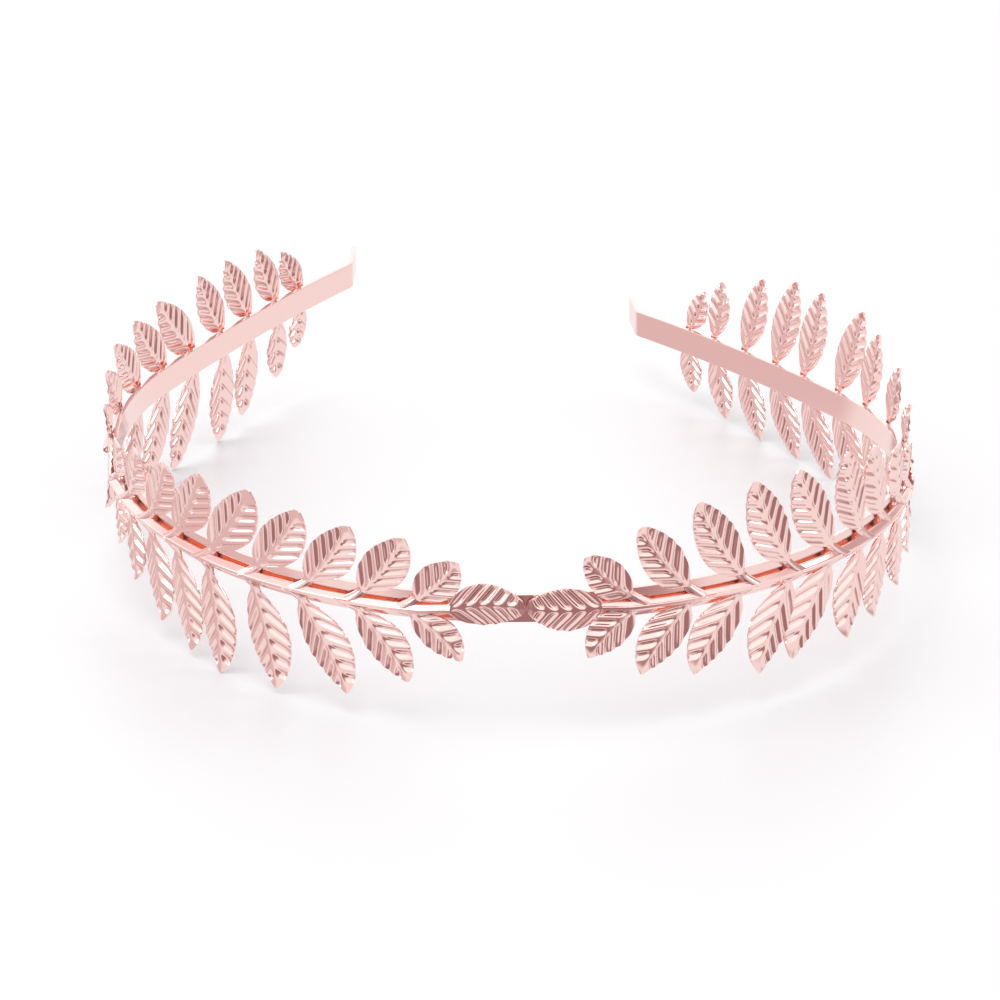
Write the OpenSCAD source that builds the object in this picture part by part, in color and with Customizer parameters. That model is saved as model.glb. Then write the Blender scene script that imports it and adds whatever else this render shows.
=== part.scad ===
// Leaf headband: an open springy hoop of flat strip that carries four stamped
// leaf sprigs, two on each arm, with their tips towards the centre of the front.
// The front faces -Y, the ends of the hoop point to +Y, and the headband lies
// on the plane z = 0, on the tips of its lower leaves.

/* [Hair band] */
// Height of the strip
band_height = 5; // [4:0.5:7]
// Thickness of the strip
band_thick = 0.9; // [0.7:0.1:1.2]
// Radius of the middle of the strip across the front
front_radius = 71; // [66:1:76]
// Angle that the front arc turns on each arm
front_angle = 82; // [78:1:86]
// Radius of the middle of the strip behind the sides
side_radius = 60.5; // [56:0.5:65]
// Angle that the side arc turns
side_angle = 37; // [34:1:40]
// Radius of the nearly straight stretch at the back
rear_radius = 400; // [300:10:500]
// Angle that the back stretch turns
rear_angle = 8.9; // [7:0.1:11]
// Angle by which the end of each arm is kicked outward
kick_angle = 34; // [20:1:40]
// Length of the kicked end
kick_length = 8.5; // [6:0.5:11]
// Radius of the bend before the kicked end
kick_radius = 2.5; // [2:0.5:4]
// Slope of each arm out of the level: the right arm falls, the left arm rises
arm_slope = 2.1; // [0:0.1:3]

/* [Leaf sprigs] */
// Distance along the strip from the centre of the front to the tip of the front sprigs
front_start = -0.2; // [-0.2:0.1:1]
// The same distance to the tip of the left sprig at the back
back_left_start = 95.1; // [95:0.1:98]
// The same distance to the tip of the right sprig at the back
back_right_start = 95.8; // [95:0.1:98]
// Gap between the strip and the pads that the sprig sits on
pad_gap = 0.1; // [0.08:0.01:0.2]
// Height of the pads under the stem
pad_height = 0.5; // [0.4:0.05:0.7]
// Width of the stem at the terminal leaf
stem_front_width = 1.7; // [1.4:0.1:2]
// Width of the stem at its back end
stem_back_width = 2.2; // [1.8:0.1:2.6]
// Thickness of the stem at its ridge
stem_thick = 0.9; // [0.7:0.1:1.2]
// Distance from the middle of the stem to the start of a leaf blade
petiole_length = 3; // [2.6:0.1:3.4]
// Width of the stalk of a leaf
petiole_width = 1.2; // [1:0.1:1.5]
// How far a stalk stands out from the back of the stem
petiole_rise = 0.55; // [0.5:0.05:0.7]

/* [Leaves] */
// Height of the raised ribs of a leaf over the valleys between them
rib_height = 0.35; // [0.2:0.05:0.5]
// Height of the midrib over the valleys
midrib_height = 0.5; // [0.35:0.05:0.7]
// Width of the midrib
midrib_width = 0.9; // [0.7:0.1:1.1]
// Thickness of the sheet
sheet_thick = 0.35; // [0.3:0.05:0.5]
// How far the edge of a leaf lies behind its middle
leaf_camber = 0.3; // [0.2:0.05:0.4]
// Share of the blade at its tip that has no ribs
plain_tip = 0.16; // [0.12:0.01:0.22]
// Length of the leaf at the tip of a sprig
terminal_length = 13; // [12:0.1:13.5]
// Width of the leaf at the tip of a sprig
terminal_width = 7.5; // [6.5:0.1:7.8]
// Angle by which the two front ones are tucked in to follow the strip
terminal_tuck = 2.5; // [0:0.5:3]
// How far these leaves stand out from the back of the stem
terminal_lift = 0.2; // [0.15:0.05:0.4]
// Angle by which the left front one is bent up out of the line of its stem
terminal_bend = 5; // [0:1:7]

/* [Lying on the table] */
// Turn of the hoop about the X axis, onto the three leaf tips that carry it
rest_pitch = -1.63; // [-3:0.01:3]
// Turn of the hoop about the Y axis, onto the same tips
rest_roll = -1.69; // [-3:0.01:3]
// Height of the middle of the strip at the front
rest_height = 22.02; // [15:0.01:25]
// Distance from the front of the strip to the origin along Y
hoop_y = -79.35; // [-85:0.01:-75]
// Distance from the middle of the hoop to the origin along X
hoop_x = 0.05; // [-2:0.01:2]

/* [Hidden] */

// One row for each pair of leaves, from the tip of a sprig backwards.
// station: distance of the pair behind the tip of the sprig
// short, long: length of the leaf on either side of the stem
LEAF_PAIRS = [
    // station, short, long
    [18.6, 12.7, 13.6],
    [28.3, 15.9, 17.2],
    [38.3, 17.5, 19.5],
    [48.3, 18.2, 20.5],
    [58.3, 18.7, 21.1],
    [68.0, 17.5, 20.1],
    [77.2, 16.6, 17.9],
    [86.1, 14.3, 14.2],
    [94.5, 11.3, 11.1]
];
STATION = 0;
SHORT = 1;
LONG = 2;

// Lean of each leaf towards the tip of its sprig, in degrees, one row for each
// pair. The leaves are bent a little by hand, so no two sprigs lean alike.
LEANS = [
    // front left: short, long; front right: short, long; back left; back right
    [43, 49, 46, 49, 44, 44, 38, 34],
    [37, 37, 38, 38, 39, 35, 33, 27],
    [37, 30, 35, 30, 39, 27, 31, 20],
    [37, 14, 23, 25, 39, 21, 28, 19],
    [35, 11, 31, 25, 39, 22, 24, 16],
    [30, 15, 17, 19, 28, 6, 23, 13],
    [31, 18, 17, 20, 27, 8, 20, 13],
    [26, 17, 10, 15, 23, 1, 15, 4],
    [24, 26, 17, 17, 29, 10, 9, 18]
];
FRONT_LEFT = 0;
FRONT_RIGHT = 2;
BACK_LEFT = 4;
BACK_RIGHT = 6;

rose_gold = [0.87, 0.63, 0.57];
degree = PI / 180;
front_end = front_radius * front_angle * degree;
side_end = front_end + side_radius * side_angle * degree;
rear_end = side_end + rear_radius * rear_angle * degree;
kick_end = rear_end + kick_radius * kick_angle * degree;
side_heading = front_angle + side_angle;
rear_heading = side_heading + rear_angle;
kick_heading = rear_heading - kick_angle;
front_overlap = 0.6;
band_step = 2.5;
band_face = band_thick / 2;
stem_back = band_face + pad_gap + pad_height;
terminal_base = terminal_length + 0.1;
stem_end = LEAF_PAIRS[len(LEAF_PAIRS) - 1][STATION];
stem_step = 5.5;
stem_lap = 1;
stalk_lap = 0.25;
root_rise = 0.05;
spine_share = 0.45;
terminal_belly = 0.45;
terminal_ribs = 5;
short_belly = 0.42;
long_belly = 0.5;

// Heading of the middle line of the right arm, in degrees, at a distance s
// along it from the centre of the front.
function heading(s) =
    s < front_end ? s / front_radius / degree
    : s < side_end ? front_angle + (s - front_end) / side_radius / degree
    : s < rear_end ? side_heading + (s - side_end) / rear_radius / degree
    : s < kick_end ? rear_heading - (s - rear_end) / kick_radius / degree
    : kick_heading;

// Step along an arc of radius r from heading a to heading b.
function arc_step(r, a, b) = r * [sin(b) - sin(a), cos(a) - cos(b)];

side_start = arc_step(front_radius, 0, front_angle);
rear_start = side_start + arc_step(side_radius, front_angle, side_heading);
kick_start = rear_start + arc_step(rear_radius, side_heading, rear_heading);
kick_stop = kick_start + arc_step(-kick_radius, rear_heading, kick_heading);

// Point on the middle line of the right arm at distance s.
function hoop_point(s) =
    s < front_end ? arc_step(front_radius, 0, heading(s))
    : s < side_end ? side_start + arc_step(side_radius, front_angle, heading(s))
    : s < rear_end ? rear_start + arc_step(rear_radius, side_heading, heading(s))
    : s < kick_end ? kick_start + arc_step(-kick_radius, rear_heading, heading(s))
    : kick_stop + (s - kick_end) * [cos(kick_heading), sin(kick_heading)];

// Point at distance s, moved outward from the head by out.
function beside_hoop(s, out) = hoop_point(s) + out * [sin(heading(s)), -cos(heading(s))];

// Distances from a to b in steps of about the length step, without b.
function steps(a, b, step) = let (n = ceil((b - a) / step)) [for (i = [0:n - 1]) a + i * (b - a) / n];

// Frame at distance s: X runs back along the arm, -Y points outward, Z is up.
module on_hoop(s) {
    translate([hoop_point(s)[0], hoop_point(s)[1], 0])
        rotate([0, 0, heading(s)])
            children();
}

// The arm lies in a plane that slopes from the front of the hoop to its end.
module right_arm() {
    rotate([-arm_slope, 0, 0])
        children();
}

// The left arm is the right arm given half a turn about the Y axis.
module left_arm() {
    rotate([0, 180, 0])
        right_arm()
            children();
}

module lie_on_table() {
    translate([hoop_x, hoop_y, rest_height])
        rotate([rest_pitch, rest_roll, 0])
            children();
}

// Strip of one arm: its outline seen from above, raised to the strip's height.
module arm_strip() {
    stations = concat(
        [-front_overlap],
        steps(0, front_end, band_step),
        steps(front_end, side_end, band_step),
        steps(side_end, rear_end, 4 * band_step),
        steps(rear_end, kick_end, band_step / 10),
        [kick_end, kick_end + kick_length]
    );
    outer = [for (s = stations) beside_hoop(s, band_face)];
    inner = [for (i = [len(stations) - 1:-1:0]) beside_hoop(stations[i], -band_face)];
    linear_extrude(height = band_height, center = true)
        polygon(concat(outer, inner));
}

module hair_band() {
    color(rose_gold)
        lie_on_table() {
            right_arm()
                arm_strip();
            left_arm()
                arm_strip();
        }
}

// Half of the width of a leaf at the share t of its blade, for a full width of 1.
// The leaf is widest at the share belly.
function leaf_outline(t, belly) = 0.5 * pow(sin(180 * pow(t, ln(0.5) / ln(belly))), 0.75);

// Where the rib that ends at share t of the edge starts on the midrib.
function rib_root(t) = t * (0.2 + 0.8 * t);

// Blade of a leaf: it grows along +Z from the origin, its front is towards -Y.
// Ridges and valleys run from the midrib to the edge, as on the stamped leaf.
module blade(length, width, belly, ribs) {
    rows = 2 * ribs;
    share = [for (i = [0:rows]) i * (1 - plain_tip) / rows];
    rise = [for (i = [0:rows]) i % 2 == 1 ? rib_height : 0];
    half = [for (t = share)
        max(petiole_width / 2 - root_rise, width * leaf_outline(t, belly))];
    drop = [for (h = half) leaf_camber * 2 * h / width];
    // Five points a row in front: left edge, left rib root, crest, right rib root, right edge
    front = [for (i = [0:rows])
        let (
            t = share[i],
            mid = midrib_width / 2 * (1 - 0.5 * t),
            crest = midrib_height * (1 - 0.4 * t),
            root = length * rib_root(t),
            edge = length * t
        )
        each [
            [-half[i], drop[i] - rise[i] / 2, edge],
            [-mid, -rise[i] - root_rise, root],
            [0, -crest, root],
            [mid, -rise[i] - root_rise, root],
            [half[i], drop[i] - rise[i] / 2, edge]
        ]];
    // Two points behind each valley: left edge, right edge
    back = [for (i = [0:2:rows])
        each [
            [-half[i], drop[i] + sheet_thick, length * share[i]],
            [half[i], drop[i] + sheet_thick, length * share[i]]
        ]];
    b = len(front);
    tip = b + len(back);
    back_tip = tip + 1;
    spine = tip + 2;
    ends = [
        [0, 0, length],
        [0, sheet_thick, length],
        [0, sheet_thick, 0],
        [0, sheet_thick * 0.6, spine_share * length]
    ];
    turn = floor(ribs / 2);
    last = 5 * rows;
    back_last = b + 2 * ribs;
    faces = [
        for (i = [0:rows - 1], j = [0:3])
            each [
                [5 * i + j, 5 * i + j + 6, 5 * i + j + 1],
                [5 * i + j, 5 * i + j + 5, 5 * i + j + 6]
            ],
        // Left and right edges, and the back
        for (k = [0:ribs - 1])
            let (f = 10 * k, g = b + 2 * k, hub = k < turn ? spine : spine + 1)
            each [
                [f, g, f + 5],
                [g, g + 2, f + 5],
                [f + 5, g + 2, f + 10],
                [g + 1, f + 4, f + 9],
                [g + 3, g + 1, f + 9],
                [g + 3, f + 9, f + 14],
                [g, hub, g + 2],
                [g + 3, hub, g + 1]
            ],
        [b + 2 * turn, spine, spine + 1],
        [b + 2 * turn + 1, spine + 1, spine],
        // Base
        for (j = [0:3])
            [j, j + 1, spine],
        [b, 0, spine],
        [4, b + 1, spine],
        // Tip
        for (j = [0:3])
            [last + j, tip, last + j + 1],
        [last, back_last, back_tip],
        [last, back_tip, tip],
        [last + 4, tip, back_tip],
        [last + 4, back_tip, back_last + 1],
        [back_last, spine + 1, back_tip],
        [back_last + 1, back_tip, spine + 1]
    ];
    polyhedron(points = concat(front, back, ends), faces = faces);
}

// Leaf of the right arm with its stalk and the pad behind it, close over the
// strip. The leaf stands up and leans towards the tip of its sprig.
module leaf(length, lean, width, belly) {
    pad = stem_back_width * 0.4;
    hull() {
        translate([-pad, -stem_back - petiole_rise, -pad])
            cube([2 * pad, petiole_rise + pad_height, 2 * pad]);
        rotate([0, -lean, 0])
            translate([-petiole_width / 2, -stem_back - petiole_rise, petiole_length])
                cube([petiole_width, petiole_rise + sheet_thick, stalk_lap]);
    }
    rotate([0, -lean, 0])
        translate([0, -stem_back, petiole_length])
            blade(length - petiole_length, width, belly, rib_count(length));
}

// Leaf at the tip of a sprig, tucked in towards the strip and bent up or down.
module terminal_leaf(tuck, bend) {
    translate([0, -stem_back - terminal_lift, 0])
        rotate([0, 0, -tuck])
            rotate([0, bend - 90, 0])
                blade(terminal_length, terminal_width, terminal_belly, terminal_ribs);
}

// Full width and number of ribs of a leaf of the given length.
function leaf_width_short(length) = 2.9 + 0.27 * length;
function leaf_width_long(length) = 2.7 + 0.24 * length;
function rib_count(length) = length > 15 ? 4 : 3;

// Stem: a ridged strip that follows the arm from the terminal leaf backwards.
module stem(start) {
    rings = concat(steps(terminal_base - stem_lap, stem_end, stem_step), [stem_end]);
    count = len(rings) - 1;
    taper = (stem_back_width - stem_front_width) / (stem_end - terminal_base);
    shoulder = stem_back + 0.4 * stem_thick;
    points = [for (d = rings)
        let (
            half = (stem_front_width + taper * (d - terminal_base)) / 2,
            back = beside_hoop(start + d, stem_back),
            side = beside_hoop(start + d, shoulder),
            ridge = beside_hoop(start + d, stem_back + stem_thick)
        )
        each [
            [back[0], back[1], -half],
            [side[0], side[1], -half],
            [ridge[0], ridge[1], 0],
            [side[0], side[1], half],
            [back[0], back[1], half]
        ]];
    last = 5 * count;
    faces = [
        for (i = [0:count - 1], j = [0:4])
            each [
                [5 * i + j, 5 * i + (j + 1) % 5, 5 * i + (j + 1) % 5 + 5],
                [5 * i + j, 5 * i + (j + 1) % 5 + 5, 5 * i + j + 5]
            ],
        [0, 2, 1], [0, 3, 2], [0, 4, 3],
        [last, last + 1, last + 2], [last, last + 2, last + 3], [last, last + 3, last + 4]
    ];
    polyhedron(points = points, faces = faces);
}

// One stamped sprig on the right arm, with its tip at the distance start. Its
// leaves lean as the columns of LEANS from the given one say.
module sprig(start, column, tuck = 0, bend = 0) {
    stem(start);
    on_hoop(start + terminal_base)
        terminal_leaf(tuck, bend);
    for (i = [0:len(LEAF_PAIRS) - 1]) {
        pair = LEAF_PAIRS[i];
        on_hoop(start + pair[STATION]) {
            leaf(pair[LONG], LEANS[i][column + 1], leaf_width_long(pair[LONG]), long_belly);
            mirror([0, 0, 1])
                leaf(pair[SHORT], LEANS[i][column], leaf_width_short(pair[SHORT]), short_belly);
        }
    }
}

module front_right_sprig() {
    color(rose_gold)
        lie_on_table()
            right_arm()
                sprig(front_start, FRONT_RIGHT, terminal_tuck);
}

module back_right_sprig() {
    color(rose_gold)
        lie_on_table()
            right_arm()
                sprig(back_right_start, BACK_RIGHT);
}

module front_left_sprig() {
    color(rose_gold)
        lie_on_table()
            left_arm()
                sprig(front_start, FRONT_LEFT, terminal_tuck, -terminal_bend);
}

module back_left_sprig() {
    color(rose_gold)
        lie_on_table()
            left_arm()
                sprig(back_left_start, BACK_LEFT);
}

hair_band();
front_left_sprig();
front_right_sprig();
back_left_sprig();
back_right_sprig();
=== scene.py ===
"""Leaf headband: an open springy hoop with four stamped leaf sprigs, dressed for the render."""

from math import cos, log, pi, radians, sin
from types import SimpleNamespace

import bpy
from mathutils import Matrix, Vector


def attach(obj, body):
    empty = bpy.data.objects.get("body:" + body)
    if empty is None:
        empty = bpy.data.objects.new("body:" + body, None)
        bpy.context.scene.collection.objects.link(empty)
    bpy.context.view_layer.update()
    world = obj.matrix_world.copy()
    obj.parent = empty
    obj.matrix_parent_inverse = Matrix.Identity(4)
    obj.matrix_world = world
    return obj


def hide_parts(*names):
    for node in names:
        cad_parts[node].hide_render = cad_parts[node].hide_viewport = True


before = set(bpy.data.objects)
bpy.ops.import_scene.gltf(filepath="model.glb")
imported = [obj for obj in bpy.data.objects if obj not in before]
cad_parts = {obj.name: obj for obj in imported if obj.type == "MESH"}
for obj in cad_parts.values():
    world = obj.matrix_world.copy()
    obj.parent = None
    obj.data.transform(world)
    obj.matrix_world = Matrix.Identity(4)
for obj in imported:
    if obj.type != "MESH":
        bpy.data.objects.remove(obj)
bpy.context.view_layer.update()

# Lengths are in millimetres and angles in degrees, unless a comment says otherwise
MM = 0.001

# Hoop: arcs of the right arm from the centre of the front backwards.
# A negative radius turns outward.
HOOP_ARCS = [
    # radius, turn
    (71, 82),
    (60.5, 37),
    (400, 8.9),
    (-2.5, 34),
]
FEWEST_ARC_STEPS = 8
KICK_LENGTH = 8.5
ARM_SLOPE = 2.1
SLOPE_BLEND_LENGTH = 12
STRIP_HEIGHT = 5
STRIP_THICKNESS = 0.9
STRIP_ROUNDING = 0.1
CORNER_STEPS = 5

# How the headband lies on its leaf tips: turns about X and Y, and where its front centre is
LIE_PITCH = -1.63
LIE_ROLL = -1.69
FRONT_CENTRE = (0.05, -79.35, 22.02)

# One row for each pair of leaves, from the tip of a sprig backwards: how far it stands behind
# the tip, and the lengths of its short and its long leaf
LEAF_PAIRS = [
    # station, short, long
    (18.6, 12.7, 13.6),
    (28.3, 15.9, 17.2),
    (38.3, 17.5, 19.5),
    (48.3, 18.2, 20.5),
    (58.3, 18.7, 21.1),
    (68.0, 17.5, 20.1),
    (77.2, 16.6, 17.9),
    (86.1, 14.3, 14.2),
    (94.5, 11.3, 11.1),
]
# The leaves are bent and set a little, one by one. Each column has the short and the long leaf:
# the lean towards the sprig's tip, how far a leaf starts behind its station, and what is added
# to its length.
SPRIG_LEAVES = {
    # lean, start, added length
    "front_left": [
        ((45, 53), (0.9, 2.1), (0, 0)),
        ((37, 41), (0.3, 1.4), (0, 0)),
        ((37, 33), (0.1, 1.6), (-0.6, 0.7)),
        ((38, 18), (0.3, 0.6), (0.2, 0)),
        ((37, 12), (0.6, 0.9), (0.9, -0.1)),
        ((33, 18), (0.3, 0.3), (0.8, -0.2)),
        ((33, 21), (0, 0), (0, 0)),
        ((29, 21), (0, 0), (0, 0)),
        ((27, 28), (0, 0), (0, 0)),
    ],
    "front_right": [
        ((52, 49), (0.8, 0.8), (0, 0.4)),
        ((43, 39), (0.7, 0.6), (0.2, 0.4)),
        ((40, 34), (0.3, 0.8), (0, 0.5)),
        ((28, 29), (0.7, 0.4), (0.2, 0.4)),
        ((38, 33), (1.2, 1.5), (0.9, 0.4)),
        ((22, 23), (0.6, 0.5), (0, -0.6)),
        ((21, 24), (0, 0), (0, 0)),
        ((14, 19), (0, 0), (0, 0)),
        ((20, 20), (0, 0), (0, 0)),
    ],
    "back_left": [
        ((40, 44), (0, 0), (-1.4, 0)),
        ((36, 35), (0, 0), (-1.6, 0)),
        ((37, 27), (0, 0), (-1, 0)),
        ((35, 21), (0, 0), (-1.8, 0.8)),
        ((38, 22), (0, 0.6), (-0.6, 1.4)),
        ((25, 4), (0, 0), (-1.4, 1.2)),
        ((25, 8), (0, 0), (-0.5, 1.1)),
        ((21, -1), (0, 0), (0, 0.9)),
        ((29, 10), (0, 0), (0.4, 0)),
    ],
    "back_right": [
        ((38, 27), (0, 0), (0, -2.2)),
        ((33, 21), (0, 0.2), (0, -2.3)),
        ((31, 16), (0, 0.2), (0, -1.8)),
        ((28, 20), (0, -0.4), (0, -0.3)),
        ((26, 14), (-0.3, 0.4), (-0.3, -1.2)),
        ((25, 16), (0, -0.4), (-0.1, 0)),
        ((18, 16), (0, 0), (-0.5, 0)),
        ((13, 6), (0, 0), (0, -0.5)),
        ((9, 24), (0, 0), (0, 0)),
    ],
}
# Two leaves are slimmer than the others: sprig, pair from its tip, kind and share of the width
SLIM_SHARES = {
    ("front_left", 4, "long"): 0.87,
    ("front_left", 5, "long"): 0.85,
}
# Each sprig: its arm, the station of its tip, tuck and bend of its end leaf, and how much later
# the front half of its short and of its long leaves grows wide
SPRIGS = {
    "front_left": ("left", -0.2, 2.5, -5, (0.3, 0.3)),
    "front_right": ("right", -0.2, 2.5, 0, (0.4, -0.1)),
    "back_left": ("left", 95.1, 0, 0, (0.2, 0.2)),
    "back_right": ("right", 95.8, 0, 0, (0.2, 0.2)),
}
# The two kinds of leaf. width: at no length, and for each millimetre of it. belly: the share of
# the blade where it is widest. round: less is a rounder tip. plain: the share of the blade at its
# tip that has no bars. slant: how far the bars run forward.
LEAF_KINDS = {
    # side, least width, width share, belly, round, most bars, plain, slant, stalk
    "short": (-1, 3.0, 0.27, 0.42, 0.64, 5, 0.16, 1.7, 2.0),
    "long": (1, 2.6, 0.24, 0.46, 0.58, 6, 0.08, 1.4, 2.4),
}
BAR_COUNTS = (4, 5, 6)
BAR_LENGTH = 3.5
LEAF_BOW = 0.8
LEAF_CURL = 0.25
# The front sprigs turn their leaves out of the stem's line, in full from this pair on
FULL_TURN_PAIR = 4
LEAF_TUCK = 0.08
LEAF_TWIST = 0.12
# Their rear halves are fuller at the first pair, by this share, and less so at each next one
FIRST_FULLNESS = 0.15
FULLNESS_LOSS = 0.05
# The first pairs of the back sprigs have no bow
FLAT_BACK_PAIRS = 3
END_LEAF_LENGTH = 13
END_LEAF_WIDTH = 7.5
END_LEAF_BELLY = 0.47
END_LEAF_GAP = 0.1
STEM_OVERLAP = 0.5
STEM_BACK = 1.05
STEM_DROP = 0.45

# Rows and columns of the grids that a leaf and a stem are pressed from
STALK_ROWS = 5
BASE_ROWS = 4
BAR_ROWS = 10
TIP_ROWS = 6
LEAF_COLUMNS = 23
STEM_COLUMNS = 29
STEM_ROWS = 160
# Steps from the middle of a bar to its crease, row by row, as shares of the bar
CREASE_STEPS = (0.08, 0.12, 0.1, 0.045, 0.155)

# Outline of a leaf
TIP_EASING = 1.7
START_ROUND = 0.7
TIP_SHARPNESS = 12
MIDRIB_TAPER = 0.4
LEAST_REACH = 0.05
TINY = 0.001

# Grooves between the veins, as shares of the distance of two bars
GROOVE_REACH = 0.345
GROOVE_FLOOR = 0.08
GROOVE_SLOPE = 0.22
GROOVE_WALL = 0.045
# How they end at the leaf's edge and begin at its stalk
EDGE_FADE = (0.8, 1)
EDGE_LOSS = 0.55
FIRST_GROOVE_FROM = 0.3
FIRST_GROOVE = 0.6

# Flanks of midrib, stalk and stem
RIB_WALL = 0.1
STEM_WALL = 0.08
STEM_WALL_SHARE = 0.15
STEM_DROP_FULL = 0.07
ROOT_SINK = 0.05
CURL_FROM = 0.9
STALK_BEND_POWER = 1.5
FOOT_SIDES = 20

# What a point of leaf_points carries, and what is dropped from the finished meshes
LEAF_VALUES = (
    "station", "length", "width", "power", "round", "bars", "plain", "slant", "lean", "side",
    "stalk", "tuck", "bow", "lift", "curl", "twist", "full", "shift", "late",
)
STORED = LEAF_VALUES + ("across", "row", "outward")
WELD = 0.002
SHARP_ANGLE = 70

# Metal: its own tone, and painted tones that it takes only where it is seen mirrored: a painted
# pale reflection on the leaves and a painted dark red shade on the strip. Then a painted glow,
# light that the metal gives off only in deeper mirrorings, for the warm light in the gap behind the
# stem, at the centre of the front and beside it
ROSE_GOLD = (0.945, 0.672, 0.638)
PAINTED_PALE_REFLECTION = (0.76, 0.64, 0.635)
PAINTED_DARK_MIRROR_SHADE = (0.15, 0.05, 0.03)
PAINTED_LEAF_GLOW = ((0.03, 0.02, 0.02), (0.03, 0.02, 0.02))
PAINTED_STRIP_GLOW = ((0.35, 0.2, 0.19), (1.0, 0.27, 0.11))
# Where the painted glow beside the centre begins and ends, in metres from the centre
GLOW_STARTS = (0.01, 0.016)
GLOW_ENDS = (0.064, 0.07)
GLOW_DEPTH = 1.5
BUMP_HEIGHT = 0.1

# Floor, in metres, and lights: place, target, size and power
FLOOR_SIZE = 6
FLOOR_TONE = (0.665, 0.67, 0.68)
LIGHTS = {
    "soft_top": ((-0.2, -0.1, 1.1), (0, 0, 0), (0.8, 0.6), 4),
    "soft_left": ((-1.0, -0.2, 0.5), (0, 0, 0.02), (0.5, 0.5), 2),
    "soft_right": ((1.0, 0.1, 0.6), (0, 0, 0.02), (0.5, 0.5), 1.6),
}

# Studio round the headband: plain light, a dark card in front, where the camera is, a paler card
# on either side, and more light overhead and behind. Pairs are where something begins and ends.
STUDIO_LIGHT = 0.98
CARD_TONE = (1, 0.62, 0.63)
FRONT_RISE = radians(-15)
FRONT_TURN = radians(9)
FRONT_EDGE = (0.67, 0.97)
FRONT_SHADE = 0.62
# The directions of the side cards are in radians round the headband, from the front
LEFT_DIRECTION = -1.6
LEFT_EDGE = (0.35, 0.65)
LEFT_SHADE = 0.2
LEFT_TINT = 0.4
RIGHT_DIRECTION = 1.9
RIGHT_EDGE = (0.4, 0.7)
RIGHT_FOOT = (-0.25, 0.1)
RIGHT_SHADE = 0.5
RIGHT_TINT = 0.6
SIDE_TOP = (0.6, 0.9)
OVERHEAD_EDGE = (0.3, 0.6)
OVERHEAD_LIGHT = 0.3
BEHIND_EDGE = (-0.2, 0.6)
BEHIND_FOOT = (-0.1, 0.2)
BEHIND_TOP = (0.4, 0.9)
BEHIND_LIGHT = 0.35

# Camera: its place and tilt before the headband is laid down
CAMERA_PLACE = (-4.243, -617.682, 275.324)
CAMERA_DOWN = 22.5185
CAMERA_YAW = 2.018
CAMERA_ROLL = -0.112
CAMERA_LENS = 147.2
SENSOR_WIDTH = 36


class Field:
    """A node socket that is used in sums like a number."""

    def __init__(self, tree, socket):
        self.tree = tree
        self.socket = socket

    def math(self, operation, *others):
        made = self.tree.nodes.new("ShaderNodeMath")
        made.operation = operation
        for slot, value in zip(made.inputs, (self, *others)):
            plug(self.tree, value, slot)
        return Field(self.tree, made.outputs[0])

    def __add__(self, other):
        return self.math("ADD", other)

    def __sub__(self, other):
        return self.math("SUBTRACT", other)

    def __mul__(self, other):
        return self.math("MULTIPLY", other)

    def __truediv__(self, other):
        return self.math("DIVIDE", other)

    def __pow__(self, other):
        return self.math("POWER", other)

    def __rsub__(self, other):
        return self * -1 + other

    def __rtruediv__(self, other):
        return self**-1 * other

    def __neg__(self):
        return self * -1

    __radd__ = __add__
    __rmul__ = __mul__

    def smooth(self, start, stop):
        """0 before start, 1 after stop, and a soft step between them."""
        made = self.tree.nodes.new("ShaderNodeMapRange")
        made.interpolation_type = "SMOOTHSTEP"
        for name, value in (("Value", self), ("From Min", start), ("From Max", stop)):
            plug(self.tree, value, made.inputs[name])
        return Field(self.tree, made.outputs[0])


def plug(tree, value, socket):
    """Gives a socket a field or a plain value."""
    if isinstance(value, Field):
        tree.links.new(value.socket, socket)
    else:
        socket.default_value = value


def node(tree, kind, settings=(), **inputs):
    """A new node; inputs are given by the socket's name with _ for a space."""
    made = tree.nodes.new(kind)
    for name, value in dict(settings).items():
        setattr(made, name, value)
    for name, value in inputs.items():
        plug(tree, value, made.inputs[name.replace("_", " ")])
    return made


def out(made, name=0):
    """An output of a node, the first one if no name is given."""
    return Field(made.id_data, made.outputs[name])


def clip(value):
    return value.math("MAXIMUM", 0).math("MINIMUM", 1)


def vector(tree, x, y, z):
    return out(node(tree, "ShaderNodeCombineXYZ", X=x, Y=y, Z=z))


def parts_of(value):
    made = node(value.tree, "ShaderNodeSeparateXYZ", Vector=value)
    return out(made, 0), out(made, 1), out(made, 2)


def named(tree, name, kind="FLOAT"):
    """A value that is stored on the points under a name."""
    return out(node(tree, "GeometryNodeInputNamedAttribute", {"data_type": kind}, Name=name))


def store(tree, shape, name, value, kind="FLOAT"):
    """The shape, with a value stored on its points under a name."""
    made = node(
        tree,
        "GeometryNodeStoreNamedAttribute",
        {"data_type": kind},
        Geometry=shape,
        Name=name,
        Value=value,
    )
    return out(made)


def new_tree(name, sockets):
    """A geometry tree with named inputs. sockets: name, socket type and value."""
    tree = bpy.data.node_groups.new(name, "GeometryNodeTree")
    tree.interface.new_socket("Geometry", in_out="INPUT", socket_type="NodeSocketGeometry")
    for title, kind, value in sockets:
        socket = tree.interface.new_socket(title, in_out="INPUT", socket_type=kind)
        if value is not None:
            socket.default_value = value
    tree.interface.new_socket("Geometry", in_out="OUTPUT", socket_type="NodeSocketGeometry")
    group = tree.nodes.new("NodeGroupInput")
    given = {socket.name: Field(tree, socket) for socket in group.outputs if socket.name}
    return tree, given


def end_tree(tree, shape, material):
    """Ends a tree as one mesh with its material."""
    real = node(tree, "GeometryNodeRealizeInstances", Geometry=shape)
    dressed = node(tree, "GeometryNodeSetMaterial", Geometry=out(real), Material=material)
    tree.links.new(dressed.outputs[0], tree.nodes.new("NodeGroupOutput").inputs[0])


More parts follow.
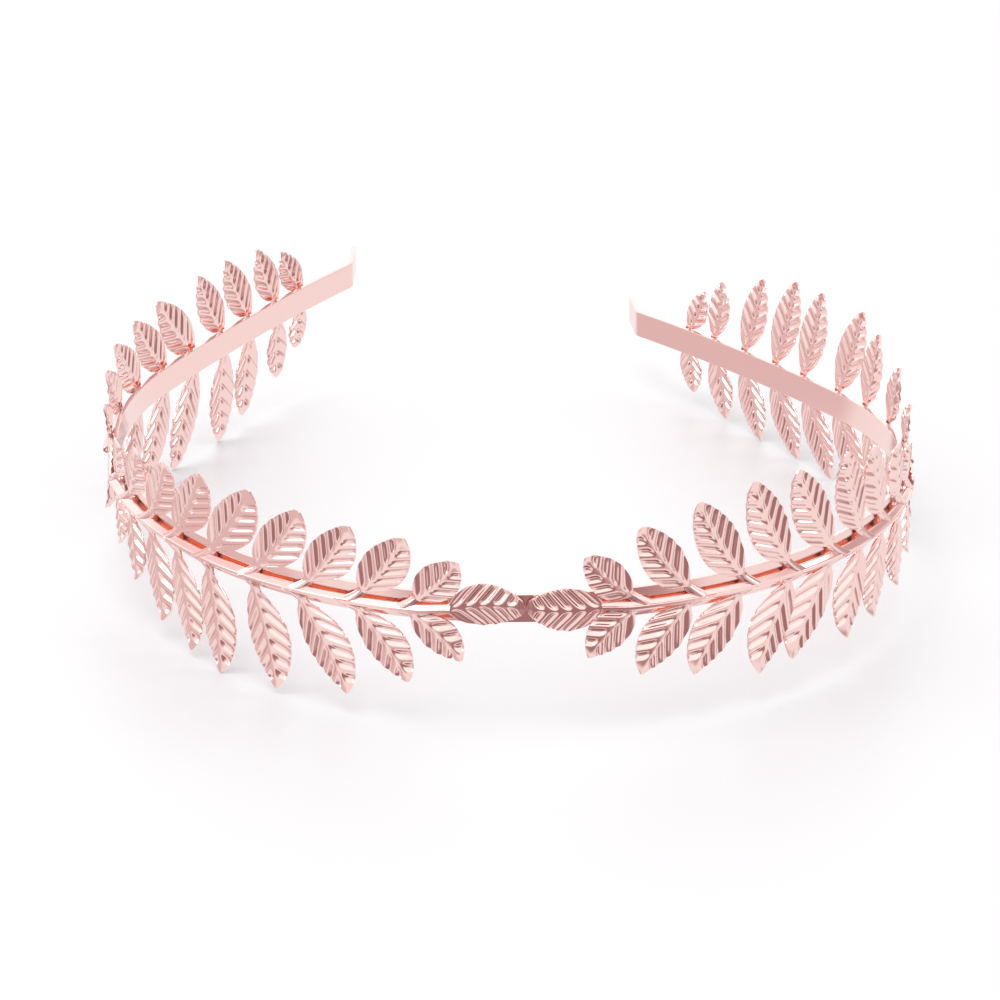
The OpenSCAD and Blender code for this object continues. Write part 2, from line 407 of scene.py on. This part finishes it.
def hoop_line():
    """Points on the middle line of the right arm, in millimetres, from the front backwards."""
    points = [Vector((0, 0, 0))]
    heading = 0
    for radius, turn in HOOP_ARCS:
        whole_turn = radians(turn) if radius > 0 else -radians(turn)
        count = max(FEWEST_ARC_STEPS, round(radius * whole_turn))
        for i in range(count):
            a = heading + whole_turn * i / count
            b = heading + whole_turn * (i + 1) / count
            points.append(points[-1] + radius * Vector((sin(b) - sin(a), cos(a) - cos(b), 0)))
        heading = b
    points.append(points[-1] + KICK_LENGTH * Vector((cos(heading), sin(heading), 0)))
    return points


def line_object(name, points, closed=False):
    """A mesh of points joined in a line, in metres."""
    mesh = bpy.data.meshes.new(name)
    edges = [(i, i + 1) for i in range(len(points) - 1)]
    if closed:
        edges.append((len(points) - 1, 0))
    mesh.from_pydata([Vector(p) * MM for p in points], edges, [])
    made = bpy.data.objects.new(name, mesh)
    bpy.context.scene.collection.objects.link(made)
    return made


def shaped(name, base, tree, values, place):
    """The mesh that a tree makes from the object base, moved by the matrix place."""
    modifier = base.modifiers.new(tree.name, "NODES")
    modifier.node_group = tree
    for item in tree.interface.items_tree:
        if item.in_out == "INPUT" and item.name in values:
            modifier[item.identifier] = values[item.name]
    bpy.context.view_layer.update()
    mesh = bpy.data.meshes.new_from_object(base.evaluated_get(bpy.context.evaluated_depsgraph_get()))
    base.modifiers.remove(modifier)
    mesh.name = name
    mesh.transform(place)
    for attribute in [a.name for a in mesh.attributes if a.name in STORED]:
        mesh.attributes.remove(mesh.attributes[attribute])
    mesh.set_sharp_from_angle(angle=radians(SHARP_ANGLE))
    piece = bpy.data.objects.new(name, mesh)
    bpy.context.scene.collection.objects.link(piece)
    return piece


def on_hoop(tree, line, station, back, inward, up):
    """The place in metres of a point near the strip, and the direction inward there.

    The point is given in millimetres by the station along the arm and its place there: back
    along the arm, inward to the head, and up.
    """
    info = node(tree, "GeometryNodeObjectInfo", Object=line)
    curve = node(tree, "GeometryNodeMeshToCurve", Mesh=out(info, "Geometry"))
    sample = node(
        tree,
        "GeometryNodeSampleCurve",
        {"mode": "LENGTH", "use_all_curves": True},
        Curves=out(curve),
        Length=station * MM,
    )
    x, y, _ = parts_of(out(sample, "Position"))
    run_x, run_y, _ = parts_of(out(sample, "Tangent"))
    place = vector(
        tree,
        x + (back * run_x - inward * run_y) * MM,
        y + (back * run_y + inward * run_x) * MM,
        up * MM,
    )
    return place, vector(tree, run_y * -1, run_x, 0)


def sheet_of(tree, grid, place, inward, thickness):
    """A closed sheet whose outer side is the grid at the given places."""
    scaled = {"operation": "SCALE"}
    back = node(tree, "ShaderNodeVectorMath", scaled, Vector=inward, Scale=thickness * MM)
    hidden = node(tree, "GeometryNodeSetPosition", Geometry=grid, Position=place, Offset=out(back))
    outward = node(tree, "ShaderNodeVectorMath", scaled, Vector=out(back), Scale=-1.0)
    keep = store(tree, out(hidden), "outward", out(outward), "FLOAT_VECTOR")
    raised = node(
        tree,
        "GeometryNodeExtrudeMesh",
        Mesh=keep,
        Offset=named(tree, "outward", "FLOAT_VECTOR"),
        Offset_Scale=1.0,
        Individual=False,
    )
    turned = node(tree, "GeometryNodeFlipFaces", Mesh=keep)
    both = tree.nodes.new("GeometryNodeJoinGeometry")
    tree.links.new(turned.outputs[0], both.inputs[0])
    tree.links.new(raised.outputs[0], both.inputs[0])
    return out(node(tree, "GeometryNodeMergeByDistance", Geometry=out(both), Distance=WELD * MM))


def unit_grid(tree, columns, rows):
    """A grid that knows how far across it, from -1 to 1, and in which row a point is."""
    grid = node(
        tree,
        "GeometryNodeMeshGrid",
        Size_X=2.0,
        Size_Y=2.0,
        Vertices_X=columns,
        Vertices_Y=rows + 1,
    )
    x, y, _ = parts_of(out(node(tree, "GeometryNodeInputPosition")))
    shape = store(tree, out(grid), "across", x)
    return store(tree, shape, "row", (y * 0.5 + 0.5) * rows)


def leaf_blanks(tree, leaves, bars):
    """A flat grid for each point of leaves, with as many rows as its bars need."""
    blanks = tree.nodes.new("GeometryNodeJoinGeometry")
    same = {"operation": "EQUAL"}
    for count in BAR_COUNTS:
        blank = unit_grid(tree, LEAF_COLUMNS, STALK_ROWS + BASE_ROWS + BAR_ROWS * count + TIP_ROWS)
        fits = node(tree, "FunctionNodeCompare", same, A=bars, B=float(count), Epsilon=0.1)
        copies = node(
            tree,
            "GeometryNodeInstanceOnPoints",
            Points=leaves,
            Instance=blank,
            Selection=out(fits),
        )
        real = node(tree, "GeometryNodeRealizeInstances", Geometry=out(copies))
        tree.links.new(real.outputs[0], blanks.inputs[0])
    return out(blanks)


def leaf_sheets(tree, given, leaves):
    """One stamped leaf, with its stalk, for each point of leaves."""
    leaf = SimpleNamespace(**{name: named(tree, name) for name in LEAF_VALUES})
    blanks = leaf_blanks(tree, leaves, leaf.bars)
    across = named(tree, "across")
    across = across * across.math("ABSOLUTE") ** given["Middle Share"]
    row = named(tree, "row")
    along_stalk = (row / STALK_ROWS).math("MINIMUM", 1)
    blade = leaf.length - leaf.stalk

    # Rows of the blade: ten for each bar, close together at its creases, then the tip
    base_row = clip((row - STALK_ROWS) / BASE_ROWS)
    bar_row = ((row - STALK_ROWS - BASE_ROWS) / BAR_ROWS).math("MAXIMUM", 0)
    bar_row = bar_row.math("MINIMUM", leaf.bars)
    from_middle = (bar_row.math("FRACT") - 0.5) * BAR_ROWS
    steps = from_middle.math("ABSOLUTE")
    off_middle = sum(clip(steps - i) * step for i, step in enumerate(CREASE_STEPS))
    phase = bar_row.math("FLOOR") + 0.5 + from_middle.math("SIGN") * off_middle
    tip_row = clip((row - STALK_ROWS - BASE_ROWS - leaf.bars * BAR_ROWS) / TIP_ROWS)

    # Each bar runs from its root on the midrib to its end on the edge, nearer to the tip
    tip_step = 1 - (1 - tip_row) ** TIP_EASING
    past_base = 1 - bar_row.math("LESS_THAN", TINY)
    root = phase * (1 - leaf.plain) / leaf.bars * past_base + tip_step * leaf.plain
    edge = given["Base Share"] * base_row
    along = edge + (1 - given["Base Share"]) * root ** (1 / leaf.slant)

    # Outline; behind is 1 on the half of a leaf that faces away from the sprig's tip
    pitch = (1 - leaf.plain) * blade / leaf.bars * given["Bar Spacing"]
    has_stalk = leaf.stalk.math("MINIMUM", 1)
    behind = (across * leaf.side).math("GREATER_THAN", 0) * has_stalk
    belly = leaf.power * (1 + (has_stalk - behind) * leaf.late)
    tip_power = leaf.round + behind * given["Hook"]
    fullness = START_ROUND + (tip_power - START_ROUND) * along
    swell = ((along**belly) * pi).math("SINE").math("MAXIMUM", 0) ** fullness
    round_tip = clip((1 - along) * TIP_SHARPNESS) ** 0.5
    narrow = (given["Stalk Width"] / 2) * (1 - along) + given["Blunt Tip"] * along * round_tip
    scallop = (phase * (2 * pi)).math("COSINE") * given["Scallop"] * swell * (1 - tip_row) * base_row
    flare = (1 - along_stalk) ** 2 * given["Stalk Flare"]
    wide = leaf.width * 0.5 * swell * (behind * leaf.full + 1) + scallop
    half = wide.math("MAXIMUM", narrow) + flare * behind
    reach = across.math("ABSOLUTE") * half
    midrib = given["Midrib Width"] / 2 * (1 - root * MIDRIB_TAPER)
    off_midrib = reach - midrib
    outer = clip(off_midrib / (half - midrib).math("MAXIMUM", LEAST_REACH))
    slant_length = root + (along - root) * outer
    height = leaf.stalk * along_stalk + blade * slant_length

    # Relief: between each two veins a groove of two facets with a round inner end
    beside = (phase.math("FRACT") - 0.5) * pitch
    inner = (midrib + pitch * GROOVE_REACH - reach).math("MAXIMUM", 0)
    off_line = (inner**2 + beside**2).math("SQRT") / pitch
    in_bars = bar_row.math("GREATER_THAN", TINY) * bar_row.math("LESS_THAN", leaf.bars - TINY)
    step = given["Shoulder"]
    trough = (1 - clip((off_line - GROOVE_FLOOR) / GROOVE_SLOPE)) * (1 - step)
    wall = clip((GROOVE_REACH - off_line) / GROOVE_WALL) * step
    sunk = (trough + wall) * in_bars * (1 - outer.smooth(*EDGE_FADE) * EDGE_LOSS)
    sunk *= FIRST_GROOVE + clip(phase - FIRST_GROOVE_FROM) * (1 - FIRST_GROOVE)
    stalk_side = outer * (1 - step) + clip(off_midrib / RIB_WALL) * step
    flank = stalk_side * (1 - base_row) * given["Flank"]
    fold = off_midrib.math("MAXIMUM", 0) * given["Fold"] * base_row
    bulge = leaf.bow * (1 - (1 - slant_length) ** 2) + leaf.curl * slant_length.smooth(CURL_FROM, 1)
    at_root = (1 - along_stalk) * has_stalk
    ridge = at_root * (given["Stem Height"] + given["Stem Rise"] - given["Relief"] - ROOT_SINK)
    edge_drop = given["Relief"] + at_root * (given["Stem Height"] - given["Relief"])
    outward = given["Relief"] * (1 - sunk) - flank * edge_drop - fold + bulge + ridge
    outward = outward + leaf.lift + STEM_BACK

    # Lean, tuck and place on the hoop; a blade curves forward and its tip back again
    curve = given["Leaf Curve"] * (slant_length * 4 - slant_length**2 * 5) * base_row
    side_step = across * half * leaf.side - curve
    turn = leaf.lean * (pi / 180)
    edge_turn = turn * (1 - at_root)
    back = side_step * edge_turn.math("COSINE") - height * turn.math("SINE")
    back += given["Stalk Bend"] * at_root**STALK_BEND_POWER + leaf.shift
    up = (side_step * edge_turn.math("SINE") + height * turn.math("COSINE")) * leaf.side
    up += given["Stem Drop"] * at_root
    inward = -outward - back * leaf.tuck - side_step * leaf.twist
    place, inner_side = on_hoop(tree, given["Hoop Line"], leaf.station, back, inward, up)
    return sheet_of(tree, blanks, place, inner_side, given["Sheet"])


def stem_sheet(tree, given):
    """The stem of one sprig: a flat rib with a sloping flank on both sides."""
    sheet = unit_grid(tree, STEM_COLUMNS, STEM_ROWS)
    share = named(tree, "row") / STEM_ROWS
    station = given["Stem Start"] + given["Stem Length"] * share
    growth = given["Stem Back Width"] - given["Stem Front Width"]
    half = (given["Stem Front Width"] + growth * share) / 2
    up = named(tree, "across") * half
    rib = given["Midrib Width"] / 2
    off_rib = (up.math("ABSOLUTE") - rib).math("MAXIMUM", 0)
    slope = clip(off_rib / (half - rib)) * (1 - STEM_WALL_SHARE)
    flank = slope + clip(off_rib / STEM_WALL) * STEM_WALL_SHARE
    outward = given["Stem Height"] * (1 - flank) + given["Stem Rise"] + STEM_BACK
    up += given["Stem Drop"] * share.smooth(0, STEM_DROP_FULL)
    place, inner_side = on_hoop(tree, given["Hoop Line"], station, up * 0, -outward, up)
    return sheet_of(tree, sheet, place, inner_side, given["Sheet"])


def pads(tree, given, leaves):
    """A small round foot behind the stem at each pair of leaves."""
    foot = node(
        tree,
        "GeometryNodeMeshCylinder",
        Vertices=FOOT_SIDES,
        Radius=given["Foot Radius"],
        Depth=1.0,
    )
    long_leaves = (named(tree, "side") * named(tree, "stalk")).math("GREATER_THAN", 0.5)
    copies = node(
        tree,
        "GeometryNodeInstanceOnPoints",
        Points=leaves,
        Instance=out(foot),
        Selection=long_leaves,
    )
    feet = out(node(tree, "GeometryNodeRealizeInstances", Geometry=out(copies)))
    back, up, deep = parts_of(out(node(tree, "GeometryNodeInputPosition")))
    outward = (deep + 0.5) * (given["Foot Top"] - given["Foot Back"]) + given["Foot Back"]
    back += given["Stalk Bend"] * 0.5
    up = given["Stem Drop"] - up
    place, _ = on_hoop(tree, given["Hoop Line"], named(tree, "station"), back, -outward, up)
    return out(node(tree, "GeometryNodeSetPosition", Geometry=feet, Position=place))


def sprig_tree():
    """A stamped sprig from the points of its leaves and the line of the hoop."""
    number = "NodeSocketFloat"
    tree, given = new_tree("stamped_sprig", [
        ("Hoop Line", "NodeSocketObject", None),
        ("Metal", "NodeSocketMaterial", None),
        ("Sheet", number, 0.3),
        ("Middle Share", number, 0.2),
        ("Stalk Width", number, 1.6),
        ("Stalk Flare", number, 1.0),
        ("Stalk Bend", number, 1.6),
        ("Blunt Tip", number, 0.5),
        ("Scallop", number, 0.05),
        ("Base Share", number, 0.15),
        ("Leaf Curve", number, 0.5),
        ("Hook", number, 0.15),
        ("Bar Spacing", number, 0.68),
        ("Midrib Width", number, 0.52),
        ("Relief", number, 0.45),
        ("Shoulder", number, 0.25),
        ("Flank", number, 0.6),
        ("Fold", number, 0.15),
        ("Stem Start", number, 12),
        ("Stem Length", number, 82),
        ("Stem Front Width", number, 1.7),
        ("Stem Back Width", number, 2.2),
        ("Stem Height", number, 0.9),
        ("Stem Rise", number, 0.4),
        ("Stem Drop", number, 0.0),
        ("Foot Radius", number, 0.65),
        ("Foot Back", number, 0.55),
        ("Foot Top", number, 1.6),
    ])
    leaves = given["Geometry"]
    joined = tree.nodes.new("GeometryNodeJoinGeometry")
    for part in (leaf_sheets(tree, given, leaves), stem_sheet(tree, given), pads(tree, given, leaves)):
        tree.links.new(part.socket, joined.inputs[0])
    end_tree(tree, out(joined), given["Metal"])
    return tree


def belly_power(share):
    """The power that makes an outline widest at that share of its length."""
    return log(0.5) / log(share)


def leaf_points(name, tip, tuck, bend, late_fronts):
    """The leaves of one sprig as points that carry their sizes."""
    front = name.startswith("front")
    rows = [dict(
        station=tip + END_LEAF_LENGTH + END_LEAF_GAP,
        length=END_LEAF_LENGTH,
        width=END_LEAF_WIDTH,
        power=belly_power(END_LEAF_BELLY),
        round=0.5,
        bars=5,
        plain=0.1,
        slant=1.6,
        lean=90 - bend,
        side=1,
        stalk=0,
        tuck=sin(radians(tuck)),
        bow=-0.4,
        lift=0.2,
        curl=-0.3,
        twist=0,
        full=0,
        shift=0,
        late=0,
    )]
    for pair, (station, *lengths) in enumerate(LEAF_PAIRS):
        leans, shifts, changes = SPRIG_LEAVES[name][pair]
        turned = min(pair / FULL_TURN_PAIR, 1) if front else 0
        for i, (kind, sizes) in enumerate(LEAF_KINDS.items()):
            side, least_width, width_share, belly, rounding, most_bars, plain, slant, stalk = sizes
            length = lengths[i] + changes[i]
            slim = SLIM_SHARES.get((name, pair, kind), 1)
            rows.append(dict(
                station=tip + station,
                length=length,
                width=(least_width + width_share * length) * slim,
                power=belly_power(belly),
                round=rounding,
                bars=min(max(round(length / BAR_LENGTH), BAR_COUNTS[0]), most_bars),
                plain=plain,
                slant=slant,
                lean=leans[i],
                side=side,
                stalk=stalk,
                tuck=LEAF_TUCK * turned,
                bow=LEAF_BOW if front or pair >= FLAT_BACK_PAIRS else 0,
                lift=0,
                curl=LEAF_CURL,
                twist=LEAF_TWIST * turned,
                full=max(FIRST_FULLNESS - FULLNESS_LOSS * pair, 0) if front else 0,
                shift=shifts[i],
                late=late_fronts[i],
            ))
    made = line_object(name + "_leaf_points", [(0, 0, 0)] * len(rows))
    for column in LEAF_VALUES:
        values = made.data.attributes.new(column, "FLOAT", "POINT")
        for i, row in enumerate(rows):
            values.data[i].value = row[column]
    return made


def strip_tree():
    """The strip of the hoop: a rounded profile along the whole hoop line."""
    number = "NodeSocketFloat"
    tree, given = new_tree("hoop_strip", [
        ("Profile", "NodeSocketObject", None),
        ("Metal", "NodeSocketMaterial", None),
        ("Slope", number, 0.0),
        ("Blend Length", number, 0.01),
    ])
    line = node(tree, "GeometryNodeMeshToCurve", Mesh=given["Geometry"])
    level = node(tree, "GeometryNodeSetCurveNormal", {"mode": "Z_UP"}, Curve=out(line))
    info = node(tree, "GeometryNodeObjectInfo", Object=given["Profile"])
    profile = node(tree, "GeometryNodeMeshToCurve", Mesh=out(info, "Geometry"))
    swept = node(
        tree,
        "GeometryNodeCurveToMesh",
        Curve=out(level),
        Profile_Curve=out(profile),
        Fill_Caps=True,
    )
    x, y, z = parts_of(out(node(tree, "GeometryNodeInputPosition")))
    share = (x / given["Blend Length"]).math("MAXIMUM", -1).math("MINIMUM", 1)
    turn = given["Slope"] * share * (-pi / 180)
    cosine, sine = turn.math("COSINE"), turn.math("SINE")
    place = vector(tree, x, y * cosine - z * sine, y * sine + z * cosine)
    sloped = node(tree, "GeometryNodeSetPosition", Geometry=out(swept), Position=place)
    end_tree(tree, out(sloped), given["Metal"])
    return tree


def strip_profile():
    """The strip's section as points, rounded at its corners."""
    x = STRIP_THICKNESS / 2 - STRIP_ROUNDING
    y = STRIP_HEIGHT / 2 - STRIP_ROUNDING
    points = []
    for corner, (cx, cy) in enumerate(((x, y), (-x, y), (-x, -y), (x, -y))):
        for i in range(CORNER_STEPS + 1):
            a = pi / 2 * (corner + i / CORNER_STEPS)
            points.append((cx + STRIP_ROUNDING * cos(a), cy + STRIP_ROUNDING * sin(a), 0))
    return points


def principled(name, settings):
    """A material and its shader, with the given settings."""
    material = bpy.data.materials.new(name)
    material.use_nodes = True
    shader = material.node_tree.nodes["Principled BSDF"]
    for title, value in settings.items():
        shader.inputs[title].default_value = value
    return material, shader


def polish_group():
    """Soft unevenness of polished plating: a roughness and a height that vary slowly."""
    group = bpy.data.node_groups.new("plating_polish", "ShaderNodeTree")
    for title, value in (("Roughness", 0.1), ("Uneven", 0.05), ("Size", 400.0)):
        socket = group.interface.new_socket(title, in_out="INPUT", socket_type="NodeSocketFloat")
        socket.default_value = value
    for title in ("Roughness", "Height"):
        group.interface.new_socket(title, in_out="OUTPUT", socket_type="NodeSocketFloat")
    entry = group.nodes.new("NodeGroupInput")
    given = {socket.name: Field(group, socket) for socket in entry.outputs if socket.name}
    place = out(group.nodes.new("ShaderNodeTexCoord"), "Object")
    waves = node(group, "ShaderNodeTexNoise", Vector=place, Scale=given["Size"], Detail=2.0)
    value = out(waves, "Fac")
    roughness = given["Roughness"] + (value - 0.5) * given["Uneven"]
    leave = group.nodes.new("NodeGroupOutput")
    group.links.new(roughness.socket, leave.inputs["Roughness"])
    group.links.new(value.socket, leave.inputs["Height"])
    return group


def two_tones(tree, first, second, share):
    """The first colour where share is 0 and the second one where it is 1."""
    mixed = node(tree, "ShaderNodeMix", {"data_type": "RGBA"}, Factor=share)
    for title, tone in (("A", first), ("B", second)):
        if isinstance(tone, tuple):
            mixed.inputs[title].default_value = (*tone, 1)
        else:
            tree.links.new(tone, mixed.inputs[title])
    return mixed.outputs["Result"]


def plated_metal(name, polish, mirrored, mirrored_from, glow, roughness, uneven, size, bump):
    """Rose gold plating. mirrored: a painted tone that it takes in mirrorings deeper than
    mirrored_from. glow: a painted glow that it gives off in deeper mirrorings, for the warm light
    behind the stem, at the centre and beside it. uneven, size and bump: its polish."""
    material, shader = principled(name, {"Metallic": 1.0, "Emission Strength": 1.0})
    tree = material.node_tree
    finish = tree.nodes.new("ShaderNodeGroup")
    finish.node_tree = polish
    for title, value in (("Roughness", roughness), ("Uneven", uneven), ("Size", size)):
        finish.inputs[title].default_value = value
    ray_depth = out(tree.nodes.new("ShaderNodeLightPath"), "Ray Depth")
    # Painted reflection tone: the metal's colour turns to mirrored where it is seen in mirrorings
    # deeper than mirrored_from
    tone = two_tones(tree, ROSE_GOLD, mirrored, ray_depth.math("GREATER_THAN", mirrored_from))
    # Painted glow: light given off only where mirrorings deeper than GLOW_DEPTH see the metal, red
    # beside the centre in X, for light caught in the gap behind the stem
    off_centre, _, _ = parts_of(out(tree.nodes.new("ShaderNodeTexCoord"), "Object"))
    off_centre = off_centre.math("ABSOLUTE")
    share = off_centre.smooth(*GLOW_STARTS) * (1 - off_centre.smooth(*GLOW_ENDS))
    warm = two_tones(tree, *glow, share)
    seen = two_tones(tree, (0, 0, 0), warm, ray_depth.math("GREATER_THAN", GLOW_DEPTH))
    height = out(finish, "Height")
    bumped = node(tree, "ShaderNodeBump", Strength=bump, Distance=BUMP_HEIGHT * MM, Height=height)
    tree.links.new(tone, shader.inputs["Base Color"])
    tree.links.new(seen, shader.inputs["Emission Color"])
    tree.links.new(finish.outputs["Roughness"], shader.inputs["Roughness"])
    tree.links.new(bumped.outputs[0], shader.inputs["Normal"])
    return material


def pale_floor():
    """The floor's material. The metal mirrors the studio's own light in its place."""
    material, shader = principled("pale_floor", {"Base Color": (*FLOOR_TONE, 1), "Roughness": 0.4})
    tree = material.node_tree
    ray = tree.nodes.new("ShaderNodeLightPath")
    clear = tree.nodes.new("ShaderNodeBsdfTransparent")
    seen = node(tree, "ShaderNodeMixShader", Fac=out(ray, "Is Glossy Ray"))
    tree.links.new(shader.outputs[0], seen.inputs[1])
    tree.links.new(clear.outputs[0], seen.inputs[2])
    tree.links.new(seen.outputs[0], tree.nodes["Material Output"].inputs["Surface"])
    return material


def area_light(name, place, target, size, power):
    """A soft rectangular light that looks at its target."""
    data = bpy.data.lights.new(name, "AREA")
    data.shape = "RECTANGLE"
    data.size, data.size_y = size
    data.energy = power
    light = bpy.data.objects.new(name, data)
    bpy.context.scene.collection.objects.link(light)
    light.location = place
    light.rotation_euler = (Vector(target) - Vector(place)).to_track_quat("-Z", "Y").to_euler()


def side_card(around, level, direction, edge):
    """1 in the direction of a card beside the headband, and 0 past its edges."""
    beside = (around - direction).math("ABSOLUTE").smooth(*edge)
    return (1 - beside) * (1 - level.smooth(*SIDE_TOP))


def studio_world():
    """The light that comes from all round, darker and warmer where the cards are."""
    world = bpy.data.worlds.new("studio")
    world.use_nodes = True
    sky = world.node_tree
    backdrop = sky.nodes["Background"]
    side, depth, level = parts_of(out(sky.nodes.new("ShaderNodeTexCoord"), "Generated"))
    ahead = side * sin(FRONT_TURN) - depth * cos(FRONT_TURN)
    facing = ahead * cos(FRONT_RISE) + level * sin(FRONT_RISE)
    dark = facing.smooth(*FRONT_EDGE)
    around = side.math("ARCTAN2", -depth)
    left = side_card(around, level, LEFT_DIRECTION, LEFT_EDGE)
    right = side_card(around, level, RIGHT_DIRECTION, RIGHT_EDGE) * level.smooth(*RIGHT_FOOT)
    tint = dark.math("MAXIMUM", left * LEFT_TINT).math("MAXIMUM", right * RIGHT_TINT)
    sky.links.new(two_tones(sky, (1, 1, 1), CARD_TONE, tint), backdrop.inputs["Color"])
    overhead = level.smooth(*OVERHEAD_EDGE) * OVERHEAD_LIGHT
    behind = depth.smooth(*BEHIND_EDGE) * level.smooth(*BEHIND_FOOT)
    behind *= (1 - level.smooth(*BEHIND_TOP)) * BEHIND_LIGHT
    bright = overhead.math("MAXIMUM", behind) + STUDIO_LIGHT
    shade = (1 - dark * FRONT_SHADE) * (1 - left * LEFT_SHADE) * (1 - right * RIGHT_SHADE)
    sky.links.new((bright * shade).socket, backdrop.inputs["Strength"])
    return world


# Hoop and sprigs lie on the floor on the tips of three leaves
lie = (
    Matrix.Translation(Vector(FRONT_CENTRE) * MM)
    @ Matrix.Rotation(radians(LIE_ROLL), 4, "Y")
    @ Matrix.Rotation(radians(LIE_PITCH), 4, "X")
)
right_arm = Matrix.Rotation(radians(-ARM_SLOPE), 4, "X")
arms = {"right": right_arm, "left": Matrix.Rotation(pi, 4, "Y") @ right_arm}

polish = polish_group()
# The leaves take a painted pale tone and the strip a painted dark red shade where they are seen
# mirrored
leaf_metal = plated_metal(
    "polished_leaf_metal",
    polish,
    mirrored=PAINTED_PALE_REFLECTION,
    mirrored_from=0.5,
    glow=PAINTED_LEAF_GLOW,
    roughness=0.08,
    uneven=0.05,
    size=500,
    bump=0.15,
)
strip_metal = plated_metal(
    "polished_strip_metal",
    polish,
    mirrored=PAINTED_DARK_MIRROR_SHADE,
    mirrored_from=1.5,
    glow=PAINTED_STRIP_GLOW,
    roughness=0.12,
    uneven=0.05,
    size=250,
    bump=0.1,
)

arm_points = hoop_line()
arm_line = line_object("arm_line", arm_points)
whole_points = [Vector((-p.x, p.y, 0)) for p in reversed(arm_points[1:])] + arm_points
whole_line = line_object("hoop_line", whole_points)
profile_line = line_object("strip_profile", strip_profile(), closed=True)

strip = shaped("smooth_hoop_strip", whole_line, strip_tree(), {
    "Profile": profile_line,
    "Metal": strip_metal,
    "Slope": ARM_SLOPE,
    "Blend Length": SLOPE_BLEND_LENGTH * MM,
}, lie)
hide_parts("hair_band")
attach(strip, "root")

sprig_nodes = sprig_tree()
for name, (arm, tip, tuck, bend, late_fronts) in SPRIGS.items():
    points = leaf_points(name, tip, tuck, bend, late_fronts)
    piece = shaped("stamped_" + name, points, sprig_nodes, {
        "Hoop Line": arm_line,
        "Metal": leaf_metal,
        "Stem Start": tip + END_LEAF_LENGTH - STEM_OVERLAP,
        "Stem Drop": STEM_DROP if arm == "left" else -STEM_DROP,
    }, lie @ arms[arm])
    bpy.data.objects.remove(points)
    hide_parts(name + "_sprig")
    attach(piece, "root")
for helper in (arm_line, whole_line, profile_line):
    bpy.data.objects.remove(helper)

bpy.ops.mesh.primitive_plane_add(size=FLOOR_SIZE)
floor = bpy.context.object
floor.name = "floor"
floor.data.materials.append(pale_floor())

for name, settings in LIGHTS.items():
    area_light(name, *settings)
bpy.context.scene.world = studio_world()

camera_data = bpy.data.cameras.new("camera")
camera_data.lens = CAMERA_LENS
camera_data.sensor_width = SENSOR_WIDTH
camera_data.clip_start = 0.05
camera_data.clip_end = 20
camera = bpy.data.objects.new("camera", camera_data)
bpy.context.scene.collection.objects.link(camera)
aim = Matrix.Rotation(radians(CAMERA_YAW), 4, "Z") @ Matrix.Rotation(radians(CAMERA_ROLL), 4, "Y")
camera.matrix_world = (
    lie
    @ aim.inverted()
    @ Matrix.Translation(Vector(CAMERA_PLACE) * MM)
    @ Matrix.Rotation(radians(90 - CAMERA_DOWN), 4, "X")
)
bpy.context.scene.camera = camera
bpy.context.scene.view_settings.view_transform = "Standard"
